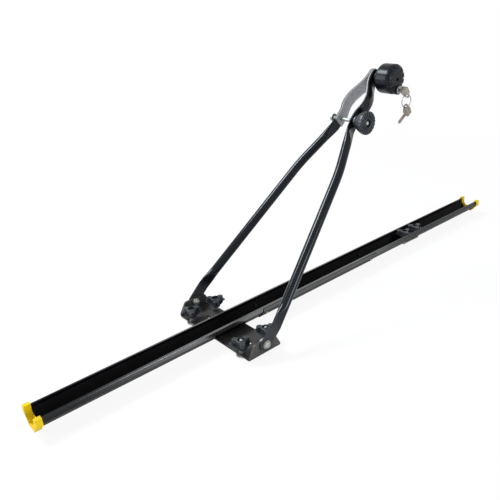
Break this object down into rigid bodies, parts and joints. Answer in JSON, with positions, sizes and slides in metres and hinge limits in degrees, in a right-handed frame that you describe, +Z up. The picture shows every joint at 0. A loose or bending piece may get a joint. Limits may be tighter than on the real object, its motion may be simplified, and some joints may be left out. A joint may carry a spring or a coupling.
{
  "type": "roof bike carrier",
  "caption": "Roof bike carrier: a wheel channel on a base plate with roof-bar clamps, and a pair of leaning arms with a lined, lockable frame jaw.",
  "frame": {"origin": "middle of the base plate's underside, where it sits on the roof bar", "axes": "+X along the rail towards the bicycle's front wheel, +Y across the rail, +Z up"},
  "size_m": [1.3252, 0.2414, 0.476],
  "materials": {
    "plate_paint": "satin grey powder coat with a fine speckle",
    "rail_paint": "black gloss paint",
    "joiner_paint": "black satin paint",
    "arm_paint": "black gloss paint",
    "cap_plastic": "moulded yellow plastic",
    "lining_rubber": "grey moulded rubber",
    "knob_plastic": "black moulded plastic with a fine grain",
    "lock_plastic": "black gloss plastic",
    "zinc_steel": "bright zinc-plated steel",
    "yellow_zinc": "yellow-passivated zinc plating",
    "strap_steel": "dull zinc-plated steel",
    "lock_metal": "dull nickel",
    "key_metal": "brushed warm grey metal",
    "ring_wire": "bright wire"
  },
  "bodies": {
    "root": {"base_plate": "plate_paint", "rear_rail": "rail_paint", "front_rail": "rail_paint", "rail_joiner": "joiner_paint", "joiner_screws": "yellow_zinc", "joiner_nuts": "joiner_paint", "rail_rivets": "zinc_steel", "rear_end_cap": "cap_plastic", "front_end_cap": "cap_plastic", "far_pivot_bolt": "zinc_steel", "far_pivot_washer": "zinc_steel", "far_pivot_nut": "zinc_steel", "near_pivot_bolt": "zinc_steel", "near_pivot_washer": "zinc_steel", "near_pivot_nut": "zinc_steel"},
    "arms": {"far_arm": "arm_paint", "near_arm": "arm_paint", "far_lining": "lining_rubber", "near_lining": "lining_rubber", "jaw_clamp_bolt": "zinc_steel", "jaw_washers": "zinc_steel", "tip_bolt": "zinc_steel", "tip_collar": "zinc_steel"},
    "jaw_knob": {"jaw_knob": "knob_plastic"},
    "lock_knob": {"lock_knob_back": "lock_plastic", "lock_knob_front": "lock_plastic", "lock_bezel": "lock_metal"},
    "lock_core": {"lock_barrel": "lock_metal", "lock_key": "key_metal"},
    "key_ring": {"key_ring": "ring_wire"},
    "spare_key": {"spare_key": "key_metal"},
    "near_clamp": {"near_clamp_strap": "strap_steel", "near_clamp_bolts": "zinc_steel", "near_clamp_washers": "zinc_steel"},
    "near_clamp_rear_knob": {"near_clamp_rear_knob": "knob_plastic", "near_clamp_rear_insert": "zinc_steel"},
    "near_clamp_front_knob": {"near_clamp_front_knob": "knob_plastic", "near_clamp_front_insert": "zinc_steel"},
    "far_clamp": {"far_clamp_strap": "strap_steel", "far_clamp_bolts": "zinc_steel", "far_clamp_washers": "zinc_steel"},
    "far_clamp_rear_knob": {"far_clamp_rear_knob": "knob_plastic", "far_clamp_rear_insert": "zinc_steel"},
    "far_clamp_front_knob": {"far_clamp_front_knob": "knob_plastic", "far_clamp_front_insert": "zinc_steel"},
    "channel_clamp": {"channel_clamp_strap": "strap_steel", "channel_clamp_bolts": "zinc_steel", "channel_clamp_washers": "zinc_steel"},
    "channel_clamp_rear_knob": {"channel_clamp_rear_knob": "knob_plastic", "channel_clamp_rear_insert": "zinc_steel"},
    "channel_clamp_front_knob": {"channel_clamp_front_knob": "knob_plastic", "channel_clamp_front_insert": "zinc_steel"}
  },
  "joints": [
    {"name": "arm_lean", "type": "hinge", "parent": "root", "child": "arms", "pos_m": [0, 0, 0.023], "axis": [0, 1, 0], "range_deg": [-126, 38]},
    {"name": "jaw_knob_turn", "type": "hinge", "parent": "arms", "child": "jaw_knob", "pos_m": [0.35032, -0.038, 0.3613], "axis": [0, -1, 0], "continuous": true},
    {"name": "lock_knob_turn", "type": "hinge", "parent": "arms", "child": "lock_knob", "pos_m": [0.43474, -0.035, 0.43727], "axis": [0, -1, 0], "continuous": true},
    {"name": "key_turn", "type": "hinge", "parent": "lock_knob", "child": "lock_core", "pos_m": [0.43914, -0.05, 0.41576], "axis": [0, -1, 0], "range_deg": [0, 90]},
    {"name": "ring_swing", "type": "hinge", "parent": "lock_core", "child": "key_ring", "pos_m": [0.43914, -0.08065, 0.40716], "axis": [1, 0, 0], "range_deg": [-30, 30]},
    {"name": "spare_key_swing", "type": "hinge", "parent": "key_ring", "child": "spare_key", "pos_m": [0.43914, -0.08065, 0.38397], "axis": [1, 0, 0], "range_deg": [-40, 40]},
    {"name": "near_clamp_rear_knob_turn", "type": "hinge", "parent": "root", "child": "near_clamp_rear_knob", "pos_m": [-0.031, -0.079, 0.012], "axis": [0, 0, 1], "range_deg": [0, 7920]},
    {"name": "near_clamp_front_knob_turn", "type": "hinge", "parent": "root", "child": "near_clamp_front_knob", "pos_m": [0.031, -0.079, 0.012], "axis": [0, 0, 1], "range_deg": [0, 7920]},
    {"name": "near_clamp_slide", "type": "slide", "parent": "root", "child": "near_clamp", "axis": [0, 0, 1], "range_m": [-0.022, 0]},
    {"name": "far_clamp_rear_knob_turn", "type": "hinge", "parent": "root", "child": "far_clamp_rear_knob", "pos_m": [-0.031, 0.079, 0.012], "axis": [0, 0, 1], "range_deg": [0, 5040]},
    {"name": "far_clamp_front_knob_turn", "type": "hinge", "parent": "root", "child": "far_clamp_front_knob", "pos_m": [0.031, 0.079, 0.012], "axis": [0, 0, 1], "range_deg": [0, 5040]},
    {"name": "far_clamp_slide", "type": "slide", "parent": "root", "child": "far_clamp", "axis": [0, 0, 1], "range_m": [-0.014, 0]},
    {"name": "channel_clamp_rear_knob_turn", "type": "hinge", "parent": "root", "child": "channel_clamp_rear_knob", "pos_m": [0.595, 0, 0.012], "axis": [0, 0, 1], "range_deg": [0, 5040]},
    {"name": "channel_clamp_front_knob_turn", "type": "hinge", "parent": "root", "child": "channel_clamp_front_knob", "pos_m": [0.643, 0, 0.012], "axis": [0, 0, 1], "range_deg": [0, 5040]},
    {"name": "channel_clamp_slide", "type": "slide", "parent": "root", "child": "channel_clamp", "axis": [0, 0, 1], "range_m": [-0.014, 0]}
  ],
  "couplings": [
    {"joint": "near_clamp_rear_knob_turn", "follows": "near_clamp_slide", "rad_per_m": -6283.2},
    {"joint": "near_clamp_front_knob_turn", "follows": "near_clamp_slide", "rad_per_m": -6283.2},
    {"joint": "far_clamp_rear_knob_turn", "follows": "far_clamp_slide", "rad_per_m": -6283.2},
    {"joint": "far_clamp_front_knob_turn", "follows": "far_clamp_slide", "rad_per_m": -6283.2},
    {"joint": "channel_clamp_rear_knob_turn", "follows": "channel_clamp_slide", "rad_per_m": -6283.2},
    {"joint": "channel_clamp_front_knob_turn", "follows": "channel_clamp_slide", "rad_per_m": -6283.2}
  ]
}
